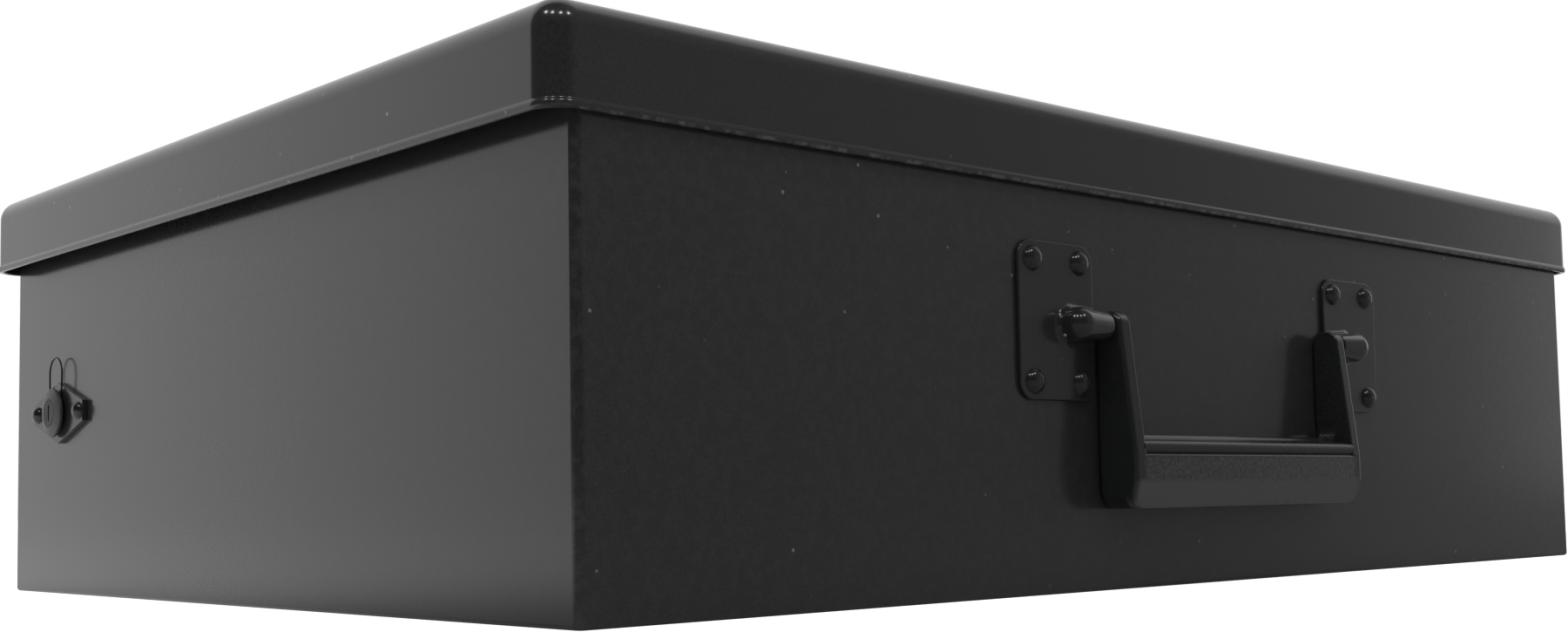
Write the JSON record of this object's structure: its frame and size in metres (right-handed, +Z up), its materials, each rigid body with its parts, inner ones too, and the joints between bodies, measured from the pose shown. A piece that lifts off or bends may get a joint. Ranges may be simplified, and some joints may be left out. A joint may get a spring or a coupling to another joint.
{
  "type": "security lock box",
  "caption": "Flat painted sheet-steel lock box with a deep-skirted hinged lid, a swing handle on its long front and a cam lock on one end.",
  "frame": {"origin": "centre of the body's underside, on the surface it stands on", "axes": "+X to the right along the long front, +Y to the back, +Z up"},
  "size_m": [0.457, 0.3302, 0.127],
  "materials": {
    "body_paint": "satin black powder coat, fine speckle",
    "lid_paint": "satin black powder coat, fine speckle",
    "fitting_paint": "semi-gloss black paint",
    "handle_paint": "gloss black paint",
    "hinge_paint": "semi-gloss black paint",
    "bright_steel": "zinc-plated steel",
    "lock_black": "satin black plated steel",
    "lock_nickel": "dark satin nickel plate",
    "lock_brass": "plain brass",
    "spring_wire": "dark spring steel",
    "keeper_steel": "satin black powder coat",
    "buffer_rubber": "matte black rubber"
  },
  "bodies": {
    "box": {"body_bottom": "body_paint", "body_long_walls": "body_paint", "body_end_walls": "body_paint", "body_corners": "body_paint", "body_long_flanges": "body_paint", "body_end_flanges": "body_paint", "lid_buffers": "buffer_rubber", "hinge_body_leaf": "hinge_paint", "hinge_body_rivets": "hinge_paint", "hinge_pin": "bright_steel", "handle_plate_left": "fitting_paint", "handle_plate_right": "fitting_paint", "handle_rivets_left": "fitting_paint", "handle_rivets_right": "fitting_paint", "handle_rivet_washers": "bright_steel", "lock_flange": "fitting_paint", "lock_flange_rivets": "fitting_paint", "lock_barrel": "lock_black", "lock_wire_clip": "spring_wire", "lock_tooth_washer": "bright_steel", "lock_nut": "bright_steel"},
    "lid": {"lid_top": "lid_paint", "lid_long_skirts": "lid_paint", "lid_end_skirts": "lid_paint", "lid_long_folds": "lid_paint", "lid_end_folds": "lid_paint", "lid_corners": "lid_paint", "hinge_lid_leaf": "hinge_paint", "hinge_lid_rivets": "hinge_paint", "lid_keeper": "keeper_steel"},
    "carry_handle": {"handle": "handle_paint", "handle_pivot_pin_left": "handle_paint", "handle_pivot_pin_right": "handle_paint"},
    "lock_rotor": {"lock_plug": "lock_nickel", "lock_wafers": "lock_brass", "lock_cam": "bright_steel", "lock_cam_screw": "bright_steel"}
  },
  "joints": [
    {"name": "lid_open", "type": "hinge", "parent": "box", "child": "lid", "pos_m": [0, 0.15895, 0.1006], "axis": [-1, 0, 0], "range_deg": [0, 110]},
    {"name": "handle_swing", "type": "hinge", "parent": "box", "child": "carry_handle", "pos_m": [0, -0.16085, 0.0685], "axis": [-1, 0, 0], "range_deg": [0, 165]},
    {"name": "lock_turn", "type": "hinge", "parent": "box", "child": "lock_rotor", "pos_m": [-0.221, 0.11605, 0.0559], "axis": [-1, 0, 0], "range_deg": [0, 90]}
  ]
}
